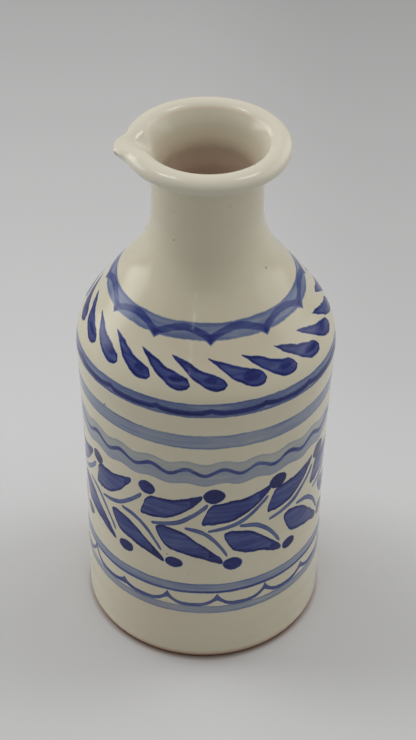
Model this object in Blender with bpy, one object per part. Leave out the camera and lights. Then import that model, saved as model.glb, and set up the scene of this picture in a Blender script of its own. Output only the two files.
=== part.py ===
"""Oil cruet in tin-glazed earthenware: a thrown cup, a thrown collar with a neck, a rolled rim with a
pulled pouring lip, a tin-glaze coat outside and over the rim, and a lining glaze inside.

Metres, +Z up. The origin is the centre of the foot, on the table, and the lip points along -X.
"""

import math

import bmesh
import bpy
from mathutils import Matrix, Vector

MM = 0.001

# Driving dimensions: heights are above the table and radii are from the cruet's axis.
HEIGHT = 170 * MM  # table to the crest of the rim
BODY_RADIUS = 37.1 * MM
FOOT_TUCK = 1.3 * MM  # the foot is drawn in by this much from the body
FOOT_FLARE_HEIGHT = 2.4 * MM  # where the foot's flare has reached the body
FOOT_FLARE_FILLET = 3 * MM
SHOULDER_SWELL = 1.8 * MM  # the wall leans out by this much from the body to the shoulder
SWELL_LENGTH = 47.3 * MM  # the wall leans out over this height below the shoulder
SWELL_FILLET = 600 * MM
SHOULDER_RISE = 31.1 * MM  # height of the shoulder's slope, between its two corners before their fillets
SHOULDER_FILLET = 20 * MM
NECK_LENGTH = 31.6 * MM  # corner of the slope and the neck to the crest of the rim
NECK_FILLET = 30 * MM

RIM_CENTRE_RADIUS = 20.2 * MM
NECK_TUCK = 4.2 * MM  # the neck's outside is this far in from the middle of the rim's section
NECK_WALL = 3 * MM
RIM_HALF_WIDTH = 3.4 * MM
RIM_HALF_HEIGHT = 2.75 * MM
RIM_UNDER_ANGLE = -75  # degrees round the rim's section, from its outer side, where the flare meets it
RIM_THROAT_ANGLE = 157  # degrees, where the throat leaves the rim's section without a crease
RIM_UNDER_FILLET = 4.5 * MM
RIM_NECK_DROP = 1.2 * MM  # the corner under the rim lies this far below the rim's underside
THROAT_DEPTH = 9.6 * MM  # rim crest to the corner where the throat meets the neck's bore
THROAT_FILLET = 10 * MM

WALL = 4.6 * MM
FLOOR = 7 * MM
FLOOR_FILLET = 7 * MM
FOOT_RING_WIDTH = 7 * MM
FOOT_RECESS = 1.2 * MM  # the turned hollow inside the foot ring
FOOT_RECESS_SLOPE = 1.5 * MM

GLAZE = 0.4 * MM
JOINT_GAP = 0.3 * MM  # slip-filled gap at each luted joint, and between the clay and its glaze
GLAZE_LINE = 1.2 * MM  # the coat stops here, above the bare foot
GLAZE_BREAK_DEPTH = 24 * MM  # the coat ends this far down the mouth, where the lining takes over
SEAM_DROP = 9.3 * MM  # the collar is luted to the cup this far below the shoulder's corner
SEAM_SLOPE = 1.6 * MM  # the seam's scarf rises this much from the inside to the outside
COIL_SEAM_DROP = 3 * MM  # the rim coil is luted to the neck this far below the corner under the rim

LIP_PULL = 3.4 * MM  # how far a finger drew the crest's outer edge out past the rim
LIP_DIP = 1.5 * MM  # depth of the pouring channel at the crest
LIP_FLAT_ANGLE = 3.5  # degrees each side of the lip's middle that are drawn out in full
LIP_HALF_ANGLE = 20  # degrees each side that the pull reaches
LIP_PINCH = 1.5  # above 1, the lip's flanks are hollow, as two fingers leave them
LIP_CHANNEL_ANGLE = 28  # degrees each side that the pouring channel reaches
LIP_DEPTH = 7 * MM  # the pull fades out this far below the crest, so the lip overhangs
LIP_BORE_SHARE = 0.25  # share of the pull that the mouth's inner edge takes

ROUND_STEPS = 28  # facets round the back, away from the lip
LIP_STEPS = 12  # finer facets over the lip's sector
ARC_STEP = 15  # degrees of turn at most from facet to facet of a fillet
RIM_STEPS = 12

WELD = 1e-6  # points of a spin that are this close are one point

# Heights and radii that follow from them
NECK_FOOT_HEIGHT = HEIGHT - NECK_LENGTH
SHOULDER_HEIGHT = NECK_FOOT_HEIGHT - SHOULDER_RISE
SHOULDER_RADIUS = BODY_RADIUS + SHOULDER_SWELL
SWELL_START = SHOULDER_HEIGHT - SWELL_LENGTH
SEAM_HEIGHT = SHOULDER_HEIGHT - SEAM_DROP
FOOT_RADIUS = BODY_RADIUS - FOOT_TUCK
NECK_RADIUS = RIM_CENTRE_RADIUS - NECK_TUCK
BORE_RADIUS = NECK_RADIUS - NECK_WALL

BARE_CLAY = (0.43, 0.2, 0.11)
TIN_WHITE = (0.78, 0.74, 0.64)
LINING = (0.6, 0.5, 0.4)


# Outlines: lists of (radius, height) points in the half plane right of the axis


def fillet(before, corner, after, radius):
    """The arc that rounds a corner of an outline."""
    corner = Vector(corner)
    to_before = (Vector(before) - corner).normalized()
    to_after = (Vector(after) - corner).normalized()
    half = to_before.angle(to_after) / 2
    middle = (to_before + to_after).normalized()
    centre = corner + middle * (radius / math.sin(half))
    turn = math.pi / 2 - half
    steps = math.ceil(math.degrees(2 * turn) / ARC_STEP)
    side = math.copysign(1, to_before.cross(to_after))
    spoke = -middle * radius
    points = []
    for step in range(steps + 1):
        swing = Matrix.Rotation(side * turn * (1 - 2 * step / steps), 2)
        points.append(tuple(centre + swing @ spoke))
    return points


def rounded(corners):
    """An outline through (radius, height, fillet) corners. A corner with no fillet stays sharp."""
    points = []
    for index, (r, z, size) in enumerate(corners):
        if size:
            points += fillet(corners[index - 1][:2], (r, z), corners[index + 1][:2], size)
        else:
            points.append((r, z))
    return points


def rim_point(degrees):
    """A point of the rolled rim's oval section, counted from its outer side."""
    angle = math.radians(degrees)
    return (
        RIM_CENTRE_RADIUS + RIM_HALF_WIDTH * math.cos(angle),
        HEIGHT - RIM_HALF_HEIGHT + RIM_HALF_HEIGHT * math.sin(angle),
    )


def rim_corner_height():
    """Height of the corner where the neck's outside meets the flare under the rim."""
    return rim_point(RIM_UNDER_ANGLE)[1] - RIM_NECK_DROP


def glazed_outline():
    """The finished surface in one line: up the outside, over the rim, and down the inside to the floor."""
    outside = rounded(
        [
            (FOOT_RADIUS, 0, 0),
            (BODY_RADIUS, FOOT_FLARE_HEIGHT, FOOT_FLARE_FILLET),
            (BODY_RADIUS, SWELL_START, SWELL_FILLET),
            (SHOULDER_RADIUS, SHOULDER_HEIGHT, SHOULDER_FILLET),
            (NECK_RADIUS, NECK_FOOT_HEIGHT, NECK_FILLET),
            (NECK_RADIUS, rim_corner_height(), RIM_UNDER_FILLET),
            (*rim_point(RIM_UNDER_ANGLE), 0),
        ]
    )
    sweep = RIM_THROAT_ANGLE - RIM_UNDER_ANGLE
    rim = [rim_point(RIM_UNDER_ANGLE + sweep * step / RIM_STEPS) for step in range(1, RIM_STEPS)]
    inside = rounded(
        [
            (*rim_point(RIM_THROAT_ANGLE), 0),
            (BORE_RADIUS, HEIGHT - THROAT_DEPTH, THROAT_FILLET),
            (BORE_RADIUS, NECK_FOOT_HEIGHT - NECK_WALL / 2, NECK_FILLET + NECK_WALL),
            (SHOULDER_RADIUS - WALL, SHOULDER_HEIGHT - WALL / 2, SHOULDER_FILLET - WALL),
            (BODY_RADIUS - WALL, SWELL_START, SWELL_FILLET),
            (BODY_RADIUS - WALL, FLOOR, FLOOR_FILLET),
            (0, FLOOR, 0),
        ]
    )
    return outside + rim + inside


def sunk(outline, depth):
    """The outline moved into the wall by depth, to its left as it runs."""
    points = []
    for index, here in enumerate(outline):
        before = Vector(outline[max(index - 1, 0)])
        after = Vector(outline[min(index + 1, len(outline) - 1)])
        here = Vector(here)
        runs = [run.normalized() for run in (here - before, after - here) if run.length > WELD]
        normals = [Vector((-run.y, run.x)) for run in runs]
        mitre = sum(normals, Vector((0, 0))).normalized()
        moved = here + mitre * (depth / mitre.dot(normals[0]))
        points.append((moved.x, moved.y))
    return points


def crossings(outline, height):
    """Where an outline passes a height: (index of the point before, point there) for each pass."""
    found = []
    for index, (low, high) in enumerate(zip(outline, outline[1:])):
        if (low[1] - height) * (high[1] - height) < 0:
            share = (height - low[1]) / (high[1] - low[1])
            found.append((index, (low[0] + (high[0] - low[0]) * share, height)))
    return found


def rising(outline, low, high):
    """The stretch of the outside between two heights. None runs from the outline's start."""
    start, first = (-1, None) if low is None else crossings(outline, low)[0]
    end, last = crossings(outline, high)[0]
    stretch = outline[start + 1 : end + 1]
    return ([first] if first else []) + stretch + [last]


def falling(outline, high, low):
    """The stretch of the inside between two heights. None runs to the outline's end."""
    start, first = crossings(outline, high)[-1]
    end, last = (len(outline), None) if low is None else crossings(outline, low)[-1]
    stretch = outline[start + 1 : end + 1]
    return [first] + stretch + ([last] if last else [])


def over_rim(outline, outside_height, inside_height):
    """The stretch from a height on the outside, over the rim, to a height on the inside."""
    start, first = crossings(outline, outside_height)[0]
    end, last = crossings(outline, inside_height)[-1]
    return [first] + outline[start + 1 : end + 1] + [last]


# Solids


def pull_lip(point):
    """Draws the rim out along -X and sinks a pouring channel in it, as a finger does in soft clay."""
    radius = math.hypot(point.x, point.y)
    if radius < WELD:
        return
    off_lip = math.degrees(abs(math.atan2(point.y, -point.x)))
    spread = (off_lip - LIP_FLAT_ANGLE) / (LIP_HALF_ANGLE - LIP_FLAT_ANGLE)
    height = 1 - (HEIGHT - point.z) / LIP_DEPTH
    if off_lip >= LIP_CHANNEL_ANGLE or height <= 0:
        return
    across = (1 - smooth_step(spread)) ** LIP_PINCH
    up = smooth_step(height)
    rim_edge = RIM_CENTRE_RADIUS + RIM_HALF_WIDTH
    outward = (radius - BORE_RADIUS) / (rim_edge - BORE_RADIUS)
    share = LIP_BORE_SHARE + (1 - LIP_BORE_SHARE) * min(max(outward, 0), 1)
    pull = LIP_PULL * across * up * share
    channel = LIP_DIP * (1 - smooth_step(off_lip / LIP_CHANNEL_ANGLE)) * up
    point.x += point.x / radius * pull
    point.y += point.y / radius * pull
    point.z -= channel


def smooth_step(share):
    share = min(max(share, 0), 1)
    return share * share * (3 - 2 * share)


def turned(name, outline, material, closed=True):
    """One solid from a section spun round the axis: coarse round the back, finer over the lip."""
    mesh = bmesh.new()
    lip_sector = math.radians(2 * LIP_CHANNEL_ANGLE)
    start = math.pi + lip_sector / 2
    points = [mesh.verts.new((r * math.cos(start), r * math.sin(start), z)) for r, z in outline]
    ends = points[1:] + points[:1] if closed else points[1:]
    section = [mesh.edges.new(pair) for pair in zip(points, ends)]
    axis = {"cent": (0, 0, 0), "axis": (0, 0, 1)}
    back = bmesh.ops.spin(
        mesh, geom=points + section, angle=2 * math.pi - lip_sector, steps=ROUND_STEPS, **axis
    )
    bmesh.ops.spin(mesh, geom=back["geom_last"], angle=lip_sector, steps=LIP_STEPS, **axis)
    bmesh.ops.remove_doubles(mesh, verts=mesh.verts, dist=WELD)
    for vertex in mesh.verts:
        pull_lip(vertex.co)
    bmesh.ops.recalc_face_normals(mesh, faces=mesh.faces)
    data = bpy.data.meshes.new(name)
    mesh.to_mesh(data)
    mesh.free()
    data.materials.append(material)
    data.shade_smooth()
    data.set_sharp_from_angle(angle=math.radians(40))
    piece = bpy.data.objects.new(name, data)
    bpy.context.collection.objects.link(piece)
    return piece


def finish(name, colour, roughness):
    material = bpy.data.materials.new(name)
    material.use_nodes = True
    shader = material.node_tree.nodes["Principled BSDF"]
    shader.inputs["Base Color"].default_value = (*colour, 1)
    shader.inputs["Roughness"].default_value = roughness
    shader.inputs["Metallic"].default_value = 0
    return material


def clay_cup(clay, material):
    """Floor and wall, thrown in one, standing on a bare foot ring."""
    ring_inside = FOOT_RADIUS - FOOT_RING_WIDTH
    under = [
        (0, FOOT_RECESS),
        (ring_inside - FOOT_RECESS_SLOPE, FOOT_RECESS),
        (ring_inside, 0),
    ]
    wall = rising(clay, None, SEAM_HEIGHT)
    wall[0] = (wall[0][0], 0)
    inside = falling(clay, SEAM_HEIGHT - SEAM_SLOPE, None)
    return turned("clay_cup", under + wall + inside, material, closed=False)


def clay_collar(clay, material):
    """Shoulder and neck, thrown in one and luted to the cup along a scarfed seam."""
    neck_top = rim_corner_height() - COIL_SEAM_DROP
    outside = rising(clay, SEAM_HEIGHT + JOINT_GAP, neck_top)
    inside = falling(clay, neck_top, SEAM_HEIGHT + JOINT_GAP - SEAM_SLOPE)
    return turned("clay_collar", outside + inside, material)


def rim_coil(clay, material):
    """The rolled rim, luted to the top of the neck and drawn out into the lip."""
    seat = rim_corner_height() - COIL_SEAM_DROP + JOINT_GAP
    return turned("rim_coil", over_rim(clay, seat, seat), material)


def outer_glaze(surface, back, material):
    """The white coat: up from the glaze line, over the rim and a little way down the mouth."""
    break_height = HEIGHT - GLAZE_BREAK_DEPTH
    face = over_rim(surface, GLAZE_LINE, break_height)
    bond = over_rim(back, GLAZE_LINE, break_height)
    return turned("outer_glaze", face + bond[::-1], material)


def inner_glaze(surface, back, material):
    """The lining that holds the oil, from the end of the white coat down over the floor."""
    top = HEIGHT - GLAZE_BREAK_DEPTH - JOINT_GAP
    face = falling(surface, top, None)
    bond = falling(back, top, None)
    return turned("inner_glaze", face[::-1] + bond, material, closed=False)


for leftover in list(bpy.data.objects):
    bpy.data.objects.remove(leftover)

bare_clay = finish("bare_clay", BARE_CLAY, 0.85)
tin_white = finish("tin_white", TIN_WHITE, 0.12)
lining = finish("lining", LINING, 0.25)

surface_line = glazed_outline()
glaze_back_line = sunk(surface_line, GLAZE)
clay_line = sunk(surface_line, GLAZE + JOINT_GAP)

clay_cup(clay_line, bare_clay)
clay_collar(clay_line, bare_clay)
rim_coil(clay_line, bare_clay)
outer_glaze(surface_line, glaze_back_line, tin_white)
inner_glaze(surface_line, glaze_back_line, lining)
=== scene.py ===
"""Looks of the oil cruet: thrown earthenware, a cream tin glaze and blue brushwork on it, on a pale table."""

import math

import bpy
from mathutils import Matrix, Vector


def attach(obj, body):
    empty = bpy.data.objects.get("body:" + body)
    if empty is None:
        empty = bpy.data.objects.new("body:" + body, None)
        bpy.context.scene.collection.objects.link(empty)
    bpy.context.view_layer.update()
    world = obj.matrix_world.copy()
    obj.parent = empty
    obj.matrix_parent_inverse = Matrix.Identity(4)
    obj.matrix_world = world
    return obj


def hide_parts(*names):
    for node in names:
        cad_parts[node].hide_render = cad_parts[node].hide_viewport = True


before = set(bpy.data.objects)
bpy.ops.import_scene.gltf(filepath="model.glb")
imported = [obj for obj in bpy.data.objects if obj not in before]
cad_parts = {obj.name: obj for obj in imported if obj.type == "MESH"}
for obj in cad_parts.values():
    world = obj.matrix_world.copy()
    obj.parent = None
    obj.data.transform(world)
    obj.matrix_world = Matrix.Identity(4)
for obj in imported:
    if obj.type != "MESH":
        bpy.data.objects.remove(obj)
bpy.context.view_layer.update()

# Clay cup
# The floor and wall of the pot, in red-brown earthenware. It is thrown on a wheel, and only its foot
# stays bare: a wiped ring that the pot stands on, with a shallow hollow turned inside it.

MM = 0.001


class Field:
    """A number that varies over a piece: a node socket that adds, multiplies and compares as numbers do."""

    def __init__(self, socket):
        self.socket = socket

    def __add__(self, other):
        return maths("ADD", self, other)

    def __radd__(self, other):
        return maths("ADD", other, self)

    def __sub__(self, other):
        return maths("SUBTRACT", self, other)

    def __rsub__(self, other):
        return maths("SUBTRACT", other, self)

    def __mul__(self, other):
        return maths("MULTIPLY", self, other)

    def __rmul__(self, other):
        return maths("MULTIPLY", other, self)

    def __truediv__(self, other):
        return maths("DIVIDE", self, other)

    def __pow__(self, other):
        return maths("POWER", self, other)

    def __abs__(self):
        return maths("ABSOLUTE", self)


def tree_of(*values):
    """The node tree of some fields, among which there may be plain numbers."""
    return next(value.socket.id_data for value in values if isinstance(value, Field))


def feed(value, socket):
    """Links a field to an input, or sets the input to a plain value."""
    if isinstance(value, Field):
        socket.id_data.links.new(value.socket, socket)
    else:
        socket.default_value = value


def maths(operation, *values):
    """What a maths node makes of some fields and numbers."""
    node = tree_of(*values).nodes.new("ShaderNodeMath")
    node.operation = operation
    for value, socket in zip(values, node.inputs):
        feed(value, socket)
    return Field(node.outputs["Value"])


def length(x, y):
    """The length of a step of x one way and y across it."""
    return maths("SQRT", x * x + y * y)


def most(*values):
    """The highest of some fields and numbers."""
    highest = values[0]
    for value in values[1:]:
        highest = maths("MAXIMUM", highest, value)
    return highest


def ramped(value, low, high, rise="LINEAR"):
    """0 below low and 1 above high, in a straight line between them."""
    node = tree_of(value).nodes.new("ShaderNodeMapRange")
    node.interpolation_type = rise
    feed(value, node.inputs["Value"])
    feed(low, node.inputs["From Min"])
    feed(high, node.inputs["From Max"])
    return Field(node.outputs["Result"])


def eased(value, low, high):
    """0 below low and 1 above high, with a smooth step between them."""
    return ramped(value, low, high, "SMOOTHSTEP")


def noise(place, scale, detail=2.0, seed=0.0):
    """Cloudy noise about 0, from -0.5 to 0.5, with scale in cycles per metre."""
    node = tree_of(place).nodes.new("ShaderNodeTexNoise")
    node.noise_dimensions = "4D"
    feed(place, node.inputs["Vector"])
    node.inputs["W"].default_value = seed
    node.inputs["Scale"].default_value = scale
    node.inputs["Detail"].default_value = detail
    return Field(node.outputs["Fac"]) - 0.5


def split(place):
    """The x, y and z of a place, as three fields."""
    node = tree_of(place).nodes.new("ShaderNodeSeparateXYZ")
    feed(place, node.inputs["Vector"])
    return [Field(socket) for socket in node.outputs]


def joined(x, y, z):
    """The place at x, y and z."""
    node = tree_of(x, y, z).nodes.new("ShaderNodeCombineXYZ")
    for value, socket in zip((x, y, z), node.inputs):
        feed(value, socket)
    return Field(node.outputs["Vector"])


def tinted(amount, stops):
    """A colour that runs through (amount, colour) stops."""
    node = tree_of(amount).nodes.new("ShaderNodeValToRGB")
    elements = node.color_ramp.elements
    while len(elements) < len(stops):
        elements.new(0.5)
    for element, (position, colour) in zip(elements, stops):
        element.position = position
        element.color = (*colour, 1)
    feed(amount, node.inputs["Fac"])
    return Field(node.outputs["Color"])


def blended(amount, colour, other, mode="MIX"):
    """Another colour, a field or plain, over a colour by an amount from 0 to 1."""
    node = tree_of(colour).nodes.new("ShaderNodeMix")
    node.data_type = "RGBA"
    node.blend_type = mode
    inputs = {socket.identifier: socket for socket in node.inputs}
    feed(amount, inputs["Factor_Float"])
    feed(colour, inputs["A_Color"])
    feed(other if isinstance(other, Field) else (*other, 1), inputs["B_Color"])
    return next(Field(socket) for socket in node.outputs if socket.identifier == "Result_Color")


def new_finish(name):
    """A new material, its shader, and the place on the piece as a field."""
    material = bpy.data.materials.new(name)
    material.use_nodes = True
    nodes = material.node_tree.nodes
    place = Field(nodes.new("ShaderNodeTexCoord").outputs["Object"])
    return material, nodes["Principled BSDF"], place


def roughen(shader, relief, strength, distance):
    """Gives a shader's surface a fine relief."""
    bump = shader.id_data.nodes.new("ShaderNodeBump")
    bump.inputs["Strength"].default_value = strength
    bump.inputs["Distance"].default_value = distance
    feed(relief, bump.inputs["Height"])
    feed(Field(bump.outputs["Normal"]), shader.inputs["Normal"])


HEIGHT = 170 * MM
RIM_CENTRE_RADIUS = 20.2 * MM
RIM_HALF_WIDTH = 3.4 * MM
BORE_RADIUS = 13 * MM
HUB = 10 * MM  # radius of the circle that a profile is carried round
HAND = {
    "Hub": HUB,
    "Rim height": HEIGHT,
    "Lip pull": 3.4 * MM,
    "Lip channel": 1.5 * MM,
    "Lip flat": 3.5,  # this and the reaches are degrees to each side of the lip
    "Lip reach": 20.0,
    "Lip pinch": 1.5,
    "Channel reach": 28.0,
    "Lip depth": 7 * MM,
    "Mouth radius": BORE_RADIUS,
    "Rim radius": RIM_CENTRE_RADIUS + RIM_HALF_WIDTH,
    "Inner pull": 0.25,
    "Unevenness": 0.35 * MM,
    "Throwing ring": 0.05 * MM,
    "Ring pitch": 7 * MM,
    "Ring wander": 6.0,
    "Even foot": 12 * MM,
}
FACETS = 240
WELD = 0.001 * MM


def throwing_wheel():
    """Geometry nodes that turn a profile curve on the wheel, pull the lip and leave the marks of a hand."""
    tree = bpy.data.node_groups.new("throwing_wheel", "GeometryNodeTree")
    tree.is_modifier = True
    sockets = {"Profile": "NodeSocketGeometry", "Facets": "NodeSocketInt"}
    sockets.update((name, "NodeSocketFloat") for name in HAND)
    sockets["Finish"] = "NodeSocketMaterial"
    for name, kind in sockets.items():
        tree.interface.new_socket(name, in_out="INPUT", socket_type=kind)
    tree.interface.new_socket("Piece", in_out="OUTPUT", socket_type="NodeSocketGeometry")
    nodes, links = tree.nodes, tree.links
    given = nodes.new("NodeGroupInput").outputs
    result = nodes.new("NodeGroupOutput")
    hand = {name: Field(given[name]) for name in HAND}

    wheel = nodes.new("GeometryNodeCurvePrimitiveCircle")
    links.new(given["Facets"], wheel.inputs["Resolution"])
    feed(hand["Hub"], wheel.inputs["Radius"])
    turned = nodes.new("GeometryNodeCurveToMesh")
    links.new(wheel.outputs["Curve"], turned.inputs["Curve"])
    links.new(given["Profile"], turned.inputs["Profile Curve"])
    welded = nodes.new("GeometryNodeMergeByDistance")
    welded.inputs["Distance"].default_value = WELD
    links.new(turned.outputs["Mesh"], welded.inputs["Geometry"])

    place = Field(nodes.new("GeometryNodeInputPosition").outputs["Position"])
    x, y, z = split(place)
    radius = length(x, y)
    off_lip = abs(maths("DEGREES", maths("ARCTAN2", y, -1 * x)))
    up = eased(z, hand["Rim height"] - hand["Lip depth"], hand["Rim height"])
    across = (1 - eased(off_lip, hand["Lip flat"], hand["Lip reach"])) ** hand["Lip pinch"]
    over_rim = ramped(radius, hand["Mouth radius"], hand["Rim radius"])
    outward = hand["Inner pull"] + (1 - hand["Inner pull"]) * over_rim
    pull = hand["Lip pull"] * across * up * outward
    channel = hand["Lip channel"] * up * (1 - eased(off_lip, 0.0, hand["Channel reach"]))

    uneven = noise(place, scale=14.0, detail=1.0) * hand["Unevenness"]
    ring_wander = noise(place, scale=25.0, detail=1.0) * hand["Ring wander"]
    rings = maths("SINE", z * math.tau / hand["Ring pitch"] + ring_wander) * hand["Throwing ring"]
    above_foot = eased(z, 0.0, hand["Even foot"])
    out = (uneven + rings) * above_foot + pull
    grow = 1 + out / most(radius, MM)

    shaped = nodes.new("GeometryNodeSetPosition")
    links.new(welded.outputs["Geometry"], shaped.inputs["Geometry"])
    feed(joined(x * grow, y * grow, z - channel), shaped.inputs["Position"])
    smoothed = nodes.new("GeometryNodeSetShadeSmooth")
    links.new(shaped.outputs["Geometry"], smoothed.inputs["Geometry"])
    realised = nodes.new("GeometryNodeRealizeInstances")
    links.new(smoothed.outputs["Geometry"], realised.inputs["Geometry"])
    finished = nodes.new("GeometryNodeSetMaterial")
    links.new(realised.outputs["Geometry"], finished.inputs["Geometry"])
    links.new(given["Finish"], finished.inputs["Material"])
    links.new(finished.outputs["Geometry"], result.inputs["Piece"])
    return tree


WHEEL = throwing_wheel()


def thrown(name, outline, finish):
    """A piece turned from a closed outline of (radius, height) points that runs down its outer side."""
    curve = bpy.data.curves.new(name, "CURVE")
    curve.dimensions = "3D"
    spline = curve.splines.new("POLY")
    spline.points.add(len(outline) - 1)
    for point, (r, z) in zip(spline.points, outline):
        point.co = (r - HUB, -z, 0, 1)
    spline.use_cyclic_u = True
    profile = bpy.data.objects.new(name + "_profile", curve)
    bpy.context.collection.objects.link(profile)
    modifier = profile.modifiers.new("wheel", "NODES")
    modifier.node_group = WHEEL
    given = {**HAND, "Facets": FACETS, "Finish": finish}
    for socket in WHEEL.interface.items_tree:
        if socket.name in given:
            modifier[socket.identifier] = given[socket.name]
    seen = profile.evaluated_get(bpy.context.evaluated_depsgraph_get())
    mesh = bpy.data.meshes.new_from_object(seen)
    mesh.name = name
    bpy.data.objects.remove(profile)
    piece = bpy.data.objects.new(name, mesh)
    bpy.context.collection.objects.link(piece)
    return piece


ARC_STEP = 4  # degrees


def fillet(before, corner, after, radius):
    """The arc that rounds a corner of an outline."""
    corner = Vector(corner)
    to_before = (Vector(before) - corner).normalized()
    to_after = (Vector(after) - corner).normalized()
    half = to_before.angle(to_after) / 2
    middle = (to_before + to_after).normalized()
    centre = corner + middle * (radius / math.sin(half))
    turn = math.pi / 2 - half
    steps = max(2, math.ceil(math.degrees(2 * turn) / ARC_STEP))
    side = math.copysign(1, to_before.cross(to_after))
    spoke = -middle * radius
    points = []
    for step in range(steps + 1):
        swing = Matrix.Rotation(side * turn * (1 - 2 * step / steps), 2)
        points.append(tuple(centre + swing @ spoke))
    return points


def rounded(corners):
    """An outline through (radius, height, fillet) corners. A corner with no fillet stays sharp."""
    points = []
    for index, (r, z, size) in enumerate(corners):
        if size:
            points += fillet(corners[index - 1][:2], (r, z), corners[index + 1][:2], size)
        else:
            points.append((r, z))
    return points


FOOT_RADIUS = 35.8 * MM
FOOT_EDGE = 0.55 * MM  # how far the foot's edge and the glaze above it stand out
FOOT_FLARE_HEIGHT = 2.4 * MM
FOOT_RING_WIDTH = 7 * MM
FOOT_RECESS = 1.2 * MM
GLAZE_LINE = 0.8 * MM
BODY_RADIUS = 37.1 * MM
SWELL_START = 60 * MM
SWELL_FILLET = 600 * MM
WALL = 4.6 * MM
FLOOR = 7 * MM
FLOOR_FILLET = 7 * MM
COAT = 0.7 * MM  # glaze and its bond to the clay
CUP_TOP = 98 * MM
CUP_TOP_RADIUS = BODY_RADIUS + 1.4 * MM
CUP_TOP_SLOPE = 1.6 * MM

DARK_CLAY = (0.3, 0.135, 0.075)
PALE_CLAY = (0.52, 0.28, 0.17)
FOOT_EDGE_SHADE = (0.1, 0.05, 0.03)


def earthenware():
    """Bare fired clay: red-brown, matt, with fine grog, and painted shade at the foot's edge on the table."""
    material, shader, place = new_finish("earthenware")
    grain = noise(place, scale=900.0, detail=4.0)
    cloud = noise(place, scale=45.0, detail=3.0)
    colour = tinted(0.5 + grain * 0.6 + cloud * 0.6, [(0.3, DARK_CLAY), (0.75, PALE_CLAY)])
    x, y, _ = split(place)
    # painted shade: the clay at the foot's outer edge is darkened where it meets the table
    foot_edge_shade = eased(length(x, y), FOOT_RADIUS - 0.3 * MM, FOOT_RADIUS + 0.1 * MM)
    feed(blended(foot_edge_shade * 0.85, colour, FOOT_EDGE_SHADE), shader.inputs["Base Color"])
    feed(0.82 + grain * 0.2, shader.inputs["Roughness"])
    roughen(shader, grain, strength=0.5, distance=0.1 * MM)
    return material


clay = earthenware()
foot_inside = FOOT_RADIUS - FOOT_RING_WIDTH
cup_outline = rounded(
    [
        (CUP_TOP_RADIUS - COAT, CUP_TOP, 0),
        (BODY_RADIUS - COAT, SWELL_START, SWELL_FILLET),
        (BODY_RADIUS - COAT, FOOT_FLARE_HEIGHT + 0.6 * MM, 2 * MM),
        (FOOT_RADIUS, GLAZE_LINE - 0.08 * MM, 0),
        (FOOT_RADIUS + FOOT_EDGE, GLAZE_LINE - 0.2 * MM, 0.15 * MM),
        (FOOT_RADIUS + FOOT_EDGE - 0.2 * MM, 0, 0.35 * MM),
        (foot_inside, 0, 0.5 * MM),
        (foot_inside - 1.5 * MM, FOOT_RECESS, 0.8 * MM),
        (0, FOOT_RECESS, 0),
    ]
) + rounded(
    [
        (0, FLOOR - COAT, 0),
        (BODY_RADIUS - WALL + COAT, FLOOR - COAT, FLOOR_FILLET),
        (BODY_RADIUS - WALL + COAT, SWELL_START, SWELL_FILLET),
        (CUP_TOP_RADIUS - WALL + COAT, CUP_TOP - CUP_TOP_SLOPE, 0),
    ]
)
clay_cup = thrown("clay_cup_fine", cup_outline, clay)
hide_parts("clay_cup")
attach(clay_cup, "root")

# Clay collar and rim coil
# The shoulder with its neck, and the rolled rim, luted on while the clay is soft. The glaze covers both,
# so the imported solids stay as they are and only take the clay's finish.

for node in ("clay_collar", "rim_coil"):
    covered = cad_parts[node]
    covered.data.materials.clear()
    covered.data.materials.append(clay)

# Lining glaze
# A thin brownish glaze over the red clay inside, with paler runs. It is poured in and out again, and
# makes the inside oil-tight.

SHOULDER_RADIUS = 38.9 * MM
SHOULDER_HEIGHT = 107.3 * MM
SHOULDER_FILLET = 20 * MM
NECK_RADIUS = 16 * MM
NECK_FOOT_HEIGHT = 138.4 * MM
NECK_FILLET = 30 * MM
GLAZE = 0.4 * MM
GLAZE_BREAK_DEPTH = 24 * MM

LINING_BROWN = (0.36, 0.25, 0.18)
LINING_RUNS = (0.47, 0.345, 0.265)


def lining_glaze():
    material, shader, place = new_finish("lining_glaze")
    cloud = noise(place, scale=60.0, detail=4.0)
    feed(tinted(0.5 + cloud, [(0.3, LINING_BROWN), (0.7, LINING_RUNS)]), shader.inputs["Base Color"])
    feed(0.35 + cloud * 0.2, shader.inputs["Roughness"])
    return material


def inside_corners(inset):
    """Corners of the inner surface, from the neck's bore down to the floor, sunk into the wall by inset."""
    neck_wall = NECK_RADIUS - BORE_RADIUS
    neck_foot = NECK_FOOT_HEIGHT - neck_wall / 2 + inset / 3
    shoulder = SHOULDER_HEIGHT - WALL / 2 + inset / 3
    return [
        (BORE_RADIUS + inset, HEIGHT - GLAZE_BREAK_DEPTH, 0),
        (BORE_RADIUS + inset, neck_foot, NECK_FILLET + neck_wall - inset),
        (SHOULDER_RADIUS - WALL + inset, shoulder, SHOULDER_FILLET - WALL + inset),
        (BODY_RADIUS - WALL + inset, SWELL_START, SWELL_FILLET),
        (BODY_RADIUS - WALL + inset, FLOOR - inset, FLOOR_FILLET + inset),
        (0, FLOOR - inset, 0),
    ]


lining_outline = rounded(inside_corners(GLAZE)) + rounded(inside_corners(0))[::-1]
lining = thrown("lining_glaze_fine", lining_outline, lining_glaze())
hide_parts("inner_glaze")
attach(lining, "root")

# Tin-glaze coat and its brushwork
# The cream glaze that the pot is dipped in, from just above the foot, over the rolled rim and a little way
# down the mouth. The blue strokes are painted on it with a brush and sink into it in the kiln.

RIM_HALF_HEIGHT = 2.75 * MM
RIM_UNDER_ANGLE = -75
RIM_THROAT_ANGLE = 157
RIM_STEPS = 48
UNDER_RIM = 1.2 * MM
UNDER_RIM_FILLET = 4.5 * MM
FOOT_FILLET = 3 * MM
THROAT_DEPTH = 9.6 * MM
THROAT_FILLET = 10 * MM
GLAZE_GAP = 0.3 * MM  # between the coat's end and the lining
COAT_STEP = 1.2 * MM


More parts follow.
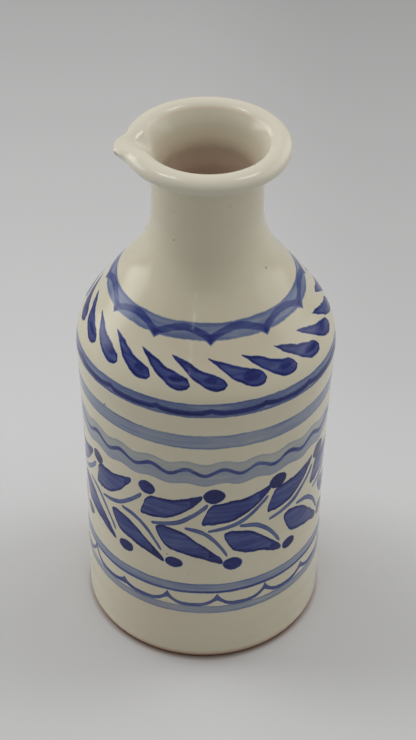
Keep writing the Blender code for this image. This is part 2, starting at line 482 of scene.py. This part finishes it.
def rim_section(inset):
    """Points of the rolled rim's oval section, shrunk by inset, from its underside over to the throat."""
    points = []
    for step in range(RIM_STEPS + 1):
        angle = math.radians(RIM_UNDER_ANGLE + (RIM_THROAT_ANGLE - RIM_UNDER_ANGLE) * step / RIM_STEPS)
        r = RIM_CENTRE_RADIUS + (RIM_HALF_WIDTH - inset) * math.cos(angle)
        z = HEIGHT - RIM_HALF_HEIGHT + (RIM_HALF_HEIGHT - inset) * math.sin(angle)
        points.append((r, z))
    return points


def coat_face(inset):
    """The coat's surface from the foot, over the rim, to where it ends in the mouth, sunk by inset."""
    rim = rim_section(inset)
    outside = rounded(
        [
            (FOOT_RADIUS + FOOT_EDGE - inset, GLAZE_LINE, 0),
            (BODY_RADIUS - inset, FOOT_FLARE_HEIGHT, FOOT_FILLET - inset),
            (BODY_RADIUS - inset, SWELL_START, SWELL_FILLET),
            (SHOULDER_RADIUS - inset, SHOULDER_HEIGHT - inset / 3, SHOULDER_FILLET - inset),
            (NECK_RADIUS - inset, NECK_FOOT_HEIGHT - inset / 3, NECK_FILLET + inset),
            (NECK_RADIUS - inset, rim[0][1] - UNDER_RIM, UNDER_RIM_FILLET),
            (*rim[0], 0),
        ]
    )
    inside = rounded(
        [
            (*rim[-1], 0),
            (BORE_RADIUS + inset, HEIGHT - THROAT_DEPTH - inset / 4, THROAT_FILLET),
            (BORE_RADIUS + inset, HEIGHT - GLAZE_BREAK_DEPTH + GLAZE_GAP, 0),
        ]
    )
    return outside + rim[1:-1] + inside


def dense(outline, step):
    """The same outline with points no further apart than step."""
    points = [outline[0]]
    for low, high in zip(outline, outline[1:]):
        count = max(1, math.ceil(math.dist(low, high) / step))
        points += [
            (low[0] + (high[0] - low[0]) * share / count, low[1] + (high[1] - low[1]) * share / count)
            for share in range(1, count + 1)
        ]
    return points


FACING = 4.0  # degrees from the pot's front to where the painter began
DEGREE = 0.65  # millimetres round the body for each degree
SPARE = 1.1  # degrees by which a stroke's rounded end may pass its start
PRESS = 0.22  # how much wider or narrower a stroke may be


def traced(share, points):
    """A size that follows a hand-drawn curve through (share, size) points."""
    low = min(size for place, size in points)
    high = max(size for place, size in points)
    node = tree_of(share).nodes.new("ShaderNodeFloatCurve")
    curve = node.mapping.curves[0]
    while len(curve.points) < len(points):
        curve.points.new(0.5, 0.5)
    for knot, (place, size) in zip(curve.points, points):
        knot.location = (place, (size - low) / (high - low))
        knot.handle_type = "AUTO_CLAMPED"
    node.mapping.update()
    feed(share, node.inputs["Value"])
    return low + (high - low) * Field(node.outputs["Value"])


def beat(angle, count, first):
    """1 at each of count places round the pot, and 0 half-way between them."""
    return 1 - 2 * maths("PINGPONG", (angle - first) * (count / 360), 0.5)


def chance(number, count, seed):
    """Three numbers from -0.5 to 0.5 that belong to one of count strokes."""
    node = tree_of(number).nodes.new("ShaderNodeTexWhiteNoise")
    node.noise_dimensions = "2D"
    feed(joined(maths("FLOORED_MODULO", number, count), seed, 0.0), node.inputs["Vector"])
    return [value - 0.5 for value in split(Field(node.outputs["Color"]))]


def strokes(angle, height, count, first, span, middle, half, seed, loose=1.8, stretch=0.0):
    """How deep a place lies in one of count like brush strokes, in millimetres, and how near to its end.

    A stroke starts at first, runs over span degrees, and follows two curves: its middle's height and its
    half width. Each wanders by up to loose degrees and is up to stretch longer or shorter than the next.
    """
    pitch = 360 / count
    spare = SPARE + loose / 2
    climb = 0.54 + 0.2 * loose  # millimetres of wander up and down
    along = maths("FLOORED_MODULO", angle - (first - spare), pitch) - spare
    number = maths("FLOOR", (angle - (first - spare)) / pitch)
    depths, ends = [], []
    for behind in range(math.ceil((span * (1 + stretch / 2) + 2 * spare) / pitch)):
        across, up, press = chance(number - behind, count, seed)
        run = span
        if stretch:
            run = span * (1 + stretch * chance(number - behind, count, seed + 0.5)[0])
        share = (along + behind * pitch + across * loose) / run
        past = most(abs(share - 0.5) - 0.5, 0.0) * (span * DEGREE)
        aside = height - traced(share, middle) - up * climb
        depths.append(traced(share, half) * (1 + press * PRESS) - length(aside, past))
        ends.append(eased(share, 0.66, 0.94) * eased(depths[-1], 0.0, 0.4))
    return most(*depths), most(*ends)


def dabs(angle, height, count, centre, middle, wide, tall, seed, loose=1.8):
    """How deep a place lies in one of count round dabs of the brush, in millimetres."""
    pitch = 360 / count
    turn = (angle - centre) / pitch + 0.5
    across, up, press = chance(maths("FLOOR", turn), count, seed)
    aside = (maths("FLOORED_MODULO", turn, 1.0) - 0.5) * pitch + across * loose
    return tall * (1 + press * 0.25 - length(aside / wide, (height - middle - up * 0.9) / tall))


def band(height, middle, half):
    """How deep a height lies in a band that runs round the pot, in millimetres."""
    return half - abs(height - middle)


def wash(depth, body, edge, pool=0.8, soft=0.2):
    """The pigment that a wet brush leaves: body inside the stroke, and edge where it pooled at its border."""
    border = 1 - eased(depth, 0.3, 0.3 + pool)
    return eased(depth, -soft, soft) * (body + (edge - body) * border)


def brushwork(place):
    """How thick the cobalt lies at a place, from 0 for none to 1 for the darkest.

    Heights and widths are in millimetres, and places round the pot in degrees.
    """
    x, y, z = split(place)
    sway = noise(place, scale=26.0, detail=1.0, seed=3.0)
    shake = noise(place, scale=190.0, detail=2.0, seed=5.0)
    drift = noise(place, scale=60.0, detail=1.0, seed=7.0) * 1.6
    angle = maths("DEGREES", maths("ARCTAN2", x, -1 * y)) + FACING + drift
    height = z / MM + sway * 1.1 + shake * 0.55
    ragged = noise(place, scale=800.0, detail=2.0, seed=9.0) * 0.4
    lumpy = ragged + noise(place, scale=260.0, detail=2.0, seed=15.0) * 1.3

    # round the neck, a wash with a scalloped line over it
    scallop = beat(angle, count=11, first=3.0)
    scallop_middle = 121.2 + 2.45 * (1 - scallop**1.9)
    scallop_half = 1.0 + 0.4 * scallop**8
    scallop_body = 0.68 + 0.2 * scallop**4
    neck_wash = wash(band(height, 122.9, 2.0) + ragged, body=0.38, edge=0.44)
    neck_edge = wash(band(height, 124.6, 0.28), body=0.5, edge=0.5)
    neck_depth = band(height, scallop_middle, scallop_half) + ragged
    neck_line = wash(neck_depth, scallop_body, edge=0.7, pool=0.5, soft=0.35)

    # on the shoulder, drops that lean, each with a thick head
    drop_middle = [(0, 117.2), (0.25, 115.4), (0.5, 113.3), (0.75, 111.7), (1, 111.0)]
    drop_half = [(0, 0.05), (0.25, 1.0), (0.5, 1.7), (0.75, 2.05), (0.93, 1.55), (1, 0.4)]
    drops, _ = strokes(
        angle, height, count=20, first=1.0, span=27.0, middle=drop_middle, half=drop_half, seed=1.0
    )
    drop_wash = wash(drops + lumpy * 0.8, body=0.7, edge=0.93, pool=0.7)
    heads = dabs(angle, height, count=20, centre=21.5, middle=112.3, wide=5.2, tall=1.3, seed=1.0)
    head_wash = wash(heads + lumpy * 1.4, body=0.88, edge=0.84, pool=0.6, soft=0.5) * eased(drops, 0.0, 0.5)

    # under the shoulder, a wash with a dark line along it, and a pale band
    notch = beat(angle, count=15, first=3.0)
    shoulder_wash = wash(band(height, 103.3, 2.3) + ragged, body=0.43, edge=0.55, pool=0.5)
    shoulder_depth = band(height, 102.5 + 0.9 * notch**4, 1.05) + ragged
    shoulder_line = wash(shoulder_depth, body=0.96, edge=0.8, pool=0.5, soft=0.4)
    pale_wash = wash(band(height, 91.4, 2.6) + ragged, body=0.32, edge=0.39, pool=0.6)

    # a wavy band: two washes between wavy edges, and a dark line where they meet
    wave = maths("COSINE", (angle - 8.5) * (math.tau * 22 / 360))
    wave_top = 83.2 + 0.6 * wave
    wave_middle = 79.3 + 1.1 * wave
    wave_foot = 74.9 + 0.5 * wave
    above_foot = eased(height, wave_foot - 0.6, wave_foot)
    wave_upper = wash(wave_top - height + ragged, body=0.17, edge=0.23) * above_foot
    wave_lower = wash(wave_middle - height, body=0.26, edge=0.26) * above_foot
    wave_edge = wash(band(height, wave_foot, 0.4) + ragged, body=0.3, edge=0.3)
    wave_depth = band(height, wave_middle, 0.8 + sway) + ragged
    wave_line = wash(wave_depth, 0.68 + sway * 0.7, edge=0.66, pool=0.4, soft=0.3)

    # a vine: leaves above and below, berries, and thin stems between them
    upper_leaf = {
        "middle": [(0, 60.2), (0.05, 61.5), (0.17, 62.5), (0.32, 62.8), (0.54, 63.7), (0.8, 66.1), (1, 68.6)],
        "half": [(0, 2.2), (0.05, 3.4), (0.17, 4.4), (0.32, 4.4), (0.54, 3.8), (0.8, 2.65), (1, 1.3)],
    }
    lower_leaf = {
        "middle": [(0, 53.0), (0.06, 52.1), (0.14, 51.1), (0.27, 50.3), (0.45, 49.2), (0.7, 46.7), (1, 42.9)],
        "half": [(0, 2.0), (0.06, 3.2), (0.14, 4.0), (0.27, 4.3), (0.45, 4.0), (0.7, 2.8), (1, 1.4)],
    }
    stem_half = [(0, 0.55), (0.3, 0.85), (0.75, 0.95), (1, 1.0)]
    upper_stem = {
        "middle": [(0, 56.0), (0.25, 56.9), (0.5, 58.4), (0.75, 61.2), (1, 65.2)],
        "half": stem_half,
    }
    lower_stem = {
        "middle": [(0, 56.2), (0.35, 55.2), (0.6, 53.0), (0.8, 50.2), (1, 46.3)],
        "half": stem_half,
    }
    vine = {"angle": angle, "height": height, "count": 12}
    free = {"loose": 5.0, "stretch": 0.3}
    upper_leaves, upper_tips = strokes(**vine, first=0.8, span=26.8, **upper_leaf, seed=3151779.0, **free)
    lower_leaves, lower_tips = strokes(**vine, first=10.8, span=26.3, **lower_leaf, seed=3831798.0, **free)
    upper_stems, _ = strokes(**vine, first=4.5, span=25.0, **upper_stem, seed=2724291.0, **free)
    lower_stems, _ = strokes(**vine, first=19.8, span=19.5, **lower_stem, seed=2720361.0, **free)
    upper_berries = dabs(**vine, centre=4.0, middle=69.9, wide=4.6, tall=2.75, seed=1900239.0, loose=6.0)
    lower_berries = dabs(**vine, centre=16.3, middle=41.6, wide=4.4, tall=2.3, seed=5345921.0, loose=9.5)
    leaves = most(upper_leaves, lower_leaves) + lumpy
    tip_paint = eased(most(upper_tips, lower_tips) + lumpy * 0.5, 0.35, 0.85)
    leaf_tips = 0.93 * tip_paint * eased(leaves, 0.0, 0.4)
    leaf_wash = wash(leaves, body=0.69, edge=1.03, pool=1.2)
    stem_wash = wash(most(upper_stems, lower_stems) + ragged * 0.5, body=0.5, edge=0.64, pool=0.5)
    berry_wash = wash(most(upper_berries, lower_berries) + lumpy * 0.7, body=0.96, edge=1.0, pool=0.6)

    # near the foot, a wash with a dark line under it, hanging scallops, and a last wash
    swag = beat(angle, count=15, first=7.0)
    swag_number = maths("ROUND", (angle - 7.0) / (360 / 15))
    swag_rise = 3.2 + 3.4 * chance(swag_number, count=15, seed=93534.0)[0]
    swag_depth = band(height, 24.2 + swag_rise * swag**3.2, 0.7 + 0.9 * swag**10) + ragged
    low_wash = wash(band(height, 31.3, 1.85) + ragged, body=0.32, edge=0.43, pool=0.5)
    low_line = wash(band(height, 29.8, 0.5) + ragged * 0.6, body=0.72, edge=0.7, pool=0.3, soft=0.25)
    swag_line = wash(swag_depth, body=0.62, edge=0.68, pool=0.3, soft=0.25)
    last_wash = wash(band(height, 22.1, 1.5) + ragged, body=0.26, edge=0.37, pool=0.5)

    neck = most(neck_wash, neck_edge, neck_line)
    shoulder = most(drop_wash, head_wash, shoulder_wash, shoulder_line, pale_wash)
    body = most(wave_upper, wave_lower, wave_edge, wave_line, leaf_wash, leaf_tips, stem_wash, berry_wash)
    foot = most(low_wash, low_line, swag_line, last_wash)
    streaks = noise(joined(x * 0.07, y * 0.07, z), scale=1000.0, detail=2.0, seed=11.0)
    clouds = noise(place, scale=120.0, detail=3.0, seed=13.0)
    return most(neck, shoulder, body, foot) * (1 + streaks * 0.8 + clouds * 0.45)


THIN_CREAM = (0.56, 0.525, 0.405)
THICK_CREAM = (0.615, 0.58, 0.46)
PINK_BLUSH = (0.6, 0.49, 0.385)
RIM_CREAM = (0.6, 0.575, 0.495)
MOUTH_SHADE = (0.49, 0.44, 0.33)
THROAT_CLAY_AND_BOUNCE = (0.68, 0.525, 0.43)
THIN_EDGE = (0.62, 0.43, 0.31)
IRON_SPECK = (0.2, 0.14, 0.1)
DARK_LIP_TIP = (0.26, 0.2, 0.145)
THIN_FOOT = (0.53, 0.4, 0.31)
COBALT = [
    (0.0, (1, 1, 1)),
    (0.18, (0.55, 0.63, 0.82)),
    (0.33, (0.35, 0.44, 0.78)),
    (0.42, (0.2, 0.28, 0.66)),
    (0.68, (0.075, 0.113, 0.485)),
    (0.85, (0.025, 0.042, 0.36)),
    (1.0, (0.008, 0.016, 0.2)),
]


def painted_tin_glaze():
    """Cream tin glaze, glossy, with cobalt brushwork sunk in it and the clay showing where it runs thin."""
    material, shader, place = new_finish("tin_glaze")
    x, y, z = split(place)
    radius = length(x, y)
    pool = noise(place, scale=35.0, detail=3.0, seed=21.0)
    fine = noise(place, scale=420.0, detail=2.0, seed=23.0)
    colour = tinted(0.5 + pool * 0.9 + fine * 0.2, [(0.25, THIN_CREAM), (0.75, THICK_CREAM)])
    blush = eased(noise(place, scale=22.0, detail=2.0, seed=27.0), 0.02, 0.26)
    colour = blended(blush * 0.4, colour, PINK_BLUSH)

    # the rim, and down the mouth
    thick_rim = eased(z, 161 * MM, 166 * MM)
    colour = blended(thick_rim * 0.7, colour, RIM_CREAM)
    mouth_side = 14.5 * MM + 0.6 * most(z - 160 * MM, 0.0)
    in_mouth = 1 - eased(radius - mouth_side, -0.5 * MM, 0.5 * MM)
    # painted shade: a darker cream down the inside of the mouth
    colour = blended((1 - eased(z, 161 * MM, 169 * MM)) * in_mouth, colour, MOUTH_SHADE)
    # deeper in, partly thin glaze showing the red clay and partly painted warm light bounced inside the neck
    colour = blended((1 - eased(z, 152 * MM, 164 * MM)) * in_mouth, colour, THROAT_CLAY_AND_BOUNCE)
    from_edge = length(radius - 17.3 * MM, z - 168.7 * MM)
    thin_edge = 1 - eased(from_edge + fine * 0.8 * MM, 0.1 * MM, 0.8 * MM)
    colour = blended(thin_edge * 0.25, colour, THIN_EDGE)

    # specks, a dark brown spot at the lip's tip, and the thin glaze near the foot
    specks = eased(noise(place, scale=640.0, detail=0.0, seed=33.0), 0.345, 0.37)
    colour = blended(specks * 0.7, colour, IRON_SPECK)
    # a dark brown spot at the lip's tip
    from_lip = length(length(x + 25.5 * MM, y + 2.7 * MM), z - 166.8 * MM)
    dark_lip_tip = 1 - eased(from_lip + fine * 0.6 * MM, 0.3 * MM, 1.4 * MM)
    colour = blended(dark_lip_tip * 0.75, colour, DARK_LIP_TIP)
    thin_foot = 1 - eased(z + (fine + pool) * 1.4 * MM, 2.0 * MM, 3.8 * MM)
    colour = blended(thin_foot, colour, THIN_FOOT)

    painted = blended(1.0, colour, tinted(brushwork(place), COBALT), "MULTIPLY")
    feed(painted, shader.inputs["Base Color"])
    shader.inputs["Specular IOR Level"].default_value = 0.3
    feed(0.13 + pool * 0.08 + fine * 0.05, shader.inputs["Roughness"])
    rim_marks = noise(joined(radius, z, 0.0), scale=1500.0, detail=2.0, seed=35.0) * thick_rim
    roughen(shader, pool + fine * 0.1 + rim_marks * 0.35, strength=0.35, distance=0.15 * MM)
    return material


coat_outline = coat_face(GLAZE) + dense(coat_face(0), COAT_STEP)[::-1]
coat = thrown("tin_glaze_coat", coat_outline, painted_tin_glaze())
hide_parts("outer_glaze")
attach(coat, "root")

# Table
# A plain sheet of pale paper that the cruet stands on, painted darker towards the back as shade. A brown
# ring of painted shadow lies close round the foot, for its shade and the light that the clay bounces.

TABLE_HALF_WIDTH = 3.0
TABLE_TOP = -0.05 * MM
FRONT_PAPER = (0.555, 0.56, 0.57)
MIDDLE_PAPER = (0.57, 0.575, 0.59)
BACK_PAPER_SHADE = (0.31, 0.315, 0.32)
CORNER_SHADE = (0.88, 0.88, 0.88)
FOOT_SHADOW_BROWN = (0.27, 0.17, 0.115)


def pale_paper():
    material, shader, place = new_finish("pale_paper")
    right, back, _ = split(place)
    # painted shade: the paper darkens towards the back, and dims further in the right back corner
    stops = [(0, FRONT_PAPER), (0.4, MIDDLE_PAPER), (1, BACK_PAPER_SHADE)]
    colour = tinted(ramped(back, -0.2, 0.5), stops)
    dim_corner = eased(right, 0.0, 0.09) * eased(back, 0.0, 0.12)
    colour = blended(dim_corner, colour, CORNER_SHADE, "MULTIPLY")
    # painted shadow: a brown ring close round the foot, standing in for its shade and light bounced off the
    # clay
    foot_shadow = 1 - eased(length(right, back), 36.4 * MM, 38.4 * MM)
    feed(blended(foot_shadow * 0.6, colour, FOOT_SHADOW_BROWN), shader.inputs["Base Color"])
    shader.inputs["Roughness"].default_value = 0.9
    return material


table_mesh = bpy.data.meshes.new("table")
table_corners = [
    (right * TABLE_HALF_WIDTH, back * TABLE_HALF_WIDTH, TABLE_TOP)
    for right, back in ((-1, -1), (1, -1), (1, 1), (-1, 1))
]
table_mesh.from_pydata(table_corners, [], [(0, 1, 2, 3)])
table_mesh.materials.append(pale_paper())
table = bpy.data.objects.new("table", table_mesh)
bpy.context.collection.objects.link(table)

# Light
# A window and a lamp at each side, all with soft edges, a small lamp in front, a pale ceiling and a pale
# room round them.


def soft_box(name, place, width, height, power, aim=(0, 0, 0.1), soft=0.1):
    """A lamp of width by height metres that fades over its outer part, soft of its size."""
    lamp = bpy.data.lights.new(name, "AREA")
    lamp.shape = "RECTANGLE"
    lamp.size = width
    lamp.size_y = height
    lamp.energy = power
    lamp.use_nodes = True
    across, up, _ = split(Field(lamp.node_tree.nodes.new("ShaderNodeNewGeometry").outputs["Parametric"]))
    fade = eased(0.5 - abs(across - 0.5), 0.0, soft / 2) * eased(0.5 - abs(up - 0.5), 0.0, soft / 2)
    feed(fade, lamp.node_tree.nodes["Emission"].inputs["Strength"])
    holder = bpy.data.objects.new(name, lamp)
    holder.location = place
    holder.rotation_euler = (Vector(aim) - Vector(place)).to_track_quat("-Z", "Y").to_euler()
    bpy.context.collection.objects.link(holder)


soft_box("left_lamp", (-0.44, 0.13, 1.06), width=0.26, height=0.3, power=1.75)
soft_box("right_lamp", (0.44, 0.11, 1.06), width=0.26, height=0.3, power=1.8)
soft_box("left_window", (-1.1, 0.62, 0.55), width=1.5, height=1.0, power=13.4, soft=0.45)
soft_box("right_window", (1.1, 0.4, 0.6), width=2.2, height=1.1, power=9.4, soft=0.45)
soft_box("front_lamp", (-0.42, -1.2, 0.94), width=0.03, height=0.06, power=0.08, aim=(0, 0, 0.13))
soft_box("ceiling", (0, 0.1, 1.6), width=1.8, height=1.8, power=3.8, aim=(0, 0.1, 0))
room = bpy.data.worlds.new("room")
bpy.context.scene.world = room
room.use_nodes = True
walls = room.node_tree.nodes["Background"]
walls.inputs["Color"].default_value = (1.0, 0.97, 0.91, 1)
walls.inputs["Strength"].default_value = 0.42

# Camera
# Seen from above the front, with the lip to the left, through a lens worked out for a frame 740 pixels tall.

FOCAL_PIXELS = 1900
FRAME_HEIGHT = 740
SENSOR = 36
CAMERA_AZIMUTH = math.radians(-4)
CAMERA_PITCH = math.radians(38.89)
CAMERA_ROLL = math.radians(0.69)
CAMERA_DISTANCE = 0.5751
AIM = Vector((0.00078, 0, 0.08735))

lens = bpy.data.cameras.new("camera")
lens.lens = FOCAL_PIXELS * SENSOR / FRAME_HEIGHT
lens.sensor_width = SENSOR
camera = bpy.data.objects.new("camera", lens)
about_axis = Matrix.Rotation(CAMERA_AZIMUTH, 4, "Z")
tilt = Matrix.Rotation(math.pi / 2 - CAMERA_PITCH, 4, "X")
roll = Matrix.Rotation(CAMERA_ROLL, 4, "Z")
back_off = Matrix.Translation((0, 0, CAMERA_DISTANCE))
camera.matrix_world = about_axis @ Matrix.Translation(AIM) @ tilt @ back_off @ roll
bpy.context.collection.objects.link(camera)
bpy.context.scene.camera = camera

bpy.context.scene.view_settings.view_transform = "Standard"
